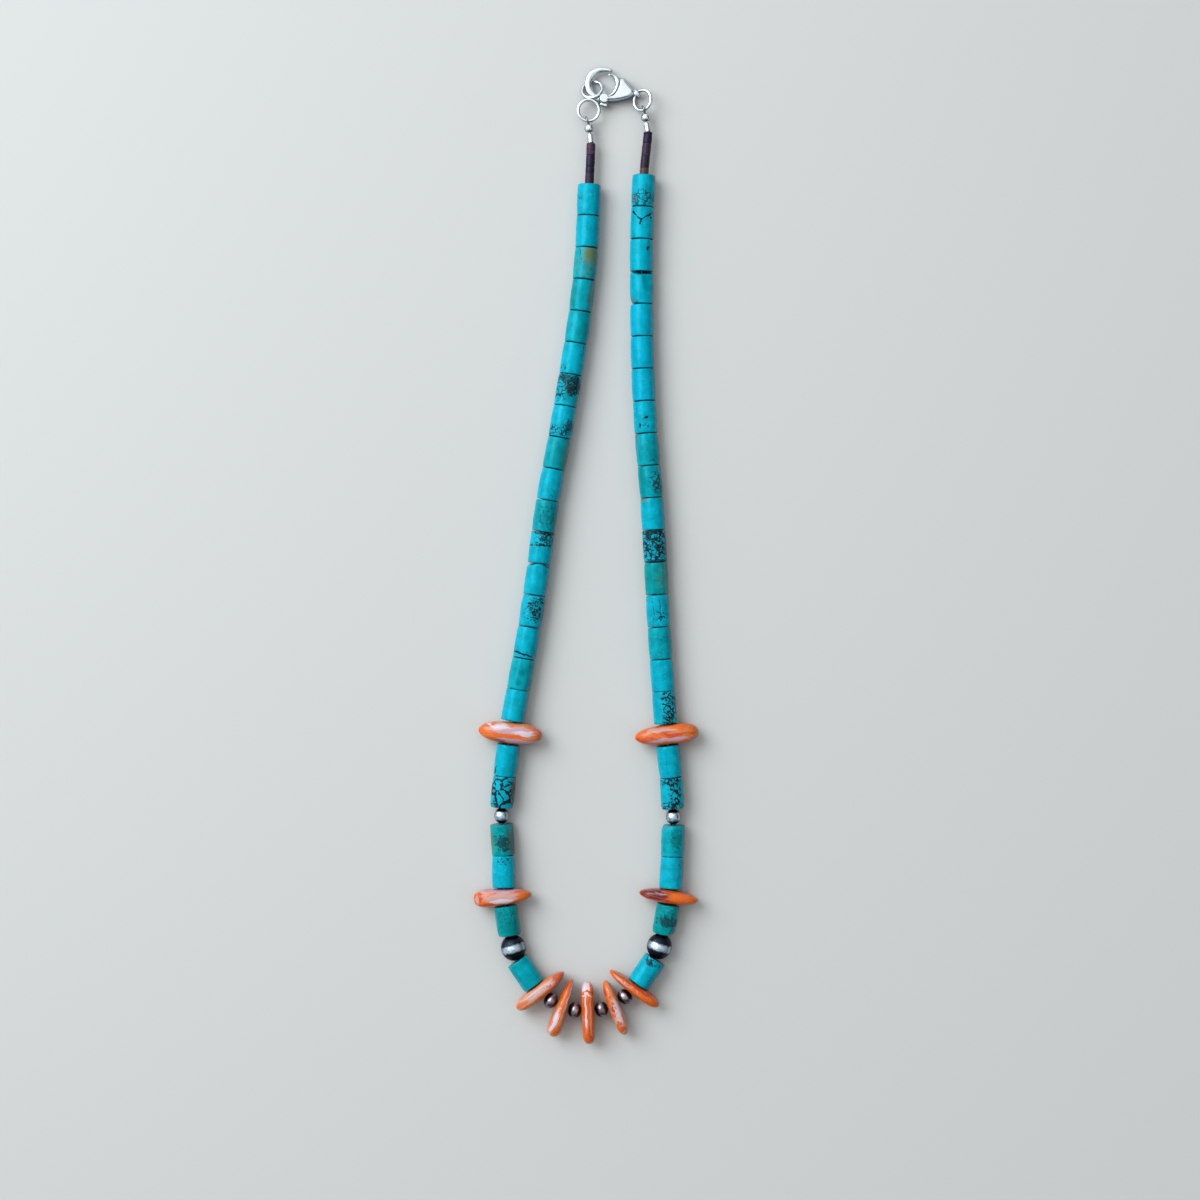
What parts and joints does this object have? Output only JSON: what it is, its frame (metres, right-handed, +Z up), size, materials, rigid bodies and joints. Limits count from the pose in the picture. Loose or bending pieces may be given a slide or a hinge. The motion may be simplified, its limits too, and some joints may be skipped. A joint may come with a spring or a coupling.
{
  "type": "bead necklace",
  "caption": "Necklace of turquoise tube beads, orange shell slices and silver beads on one wire, lying closed, with a lobster claw clasp whose lever opens.",
  "frame": {"origin": "middle of the footprint's bounding box, on the surface that the necklace lies on", "axes": "+Y along the necklace from the fringe towards the clasp, +Z up off the surface, +X to the right seen from above"},
  "size_m": [0.0586, 0.2541, 0.007],
  "materials": {
    "turquoise": "polished turquoise with brown and black matrix",
    "shell": "polished orange spiny-oyster shell",
    "heishi": "satin dark shell heishi",
    "silver": "polished silver",
    "oxidised_silver": "darkened silver, satin",
    "wire": "coated steel beading wire"
  },
  "bodies": {
    "necklace": {"beading_wire": "wire", "clasp_body": "silver", "crimp_ball_left": "silver", "crimp_ball_right": "silver", "crimp_left": "silver", "crimp_right": "silver", "end_link": "silver", "heishi_left": "heishi", "heishi_right": "heishi", "jump_ring": "silver", "silver_large_left": "silver", "silver_large_right": "silver", "silver_small_left": "silver", "silver_small_right": "silver", "silver_spacer_1": "oxidised_silver", "silver_spacer_2": "oxidised_silver", "silver_spacer_3": "oxidised_silver", "silver_spacer_4": "oxidised_silver", "slice_fringe_a": "shell", "slice_fringe_b": "shell", "slice_fringe_c": "shell", "slice_fringe_d": "shell", "slice_fringe_e": "shell", "slice_lower_left": "shell", "slice_lower_right": "shell", "slice_upper_left": "shell", "slice_upper_right": "shell", "turquoise_left_1": "turquoise", "turquoise_left_2": "turquoise", "turquoise_left_3": "turquoise", "turquoise_left_4": "turquoise", "turquoise_left_5": "turquoise", "turquoise_left_6": "turquoise", "turquoise_right_1": "turquoise", "turquoise_right_2": "turquoise", "turquoise_right_3": "turquoise", "turquoise_right_4": "turquoise", "turquoise_right_5": "turquoise", "turquoise_right_6": "turquoise", "turquoise_run_left": "turquoise", "turquoise_run_right": "turquoise"},
    "clasp_lever": {"clasp_lever": "silver"}
  },
  "joints": [
    {"name": "lever_hinge", "type": "hinge", "parent": "necklace", "child": "clasp_lever", "pos_m": [0.00474, 0.11966, 0.0018], "axis": [0, 0, 1], "range_deg": [0, 12], "stiffness_Nm_per_rad": 0.005}
  ]
}
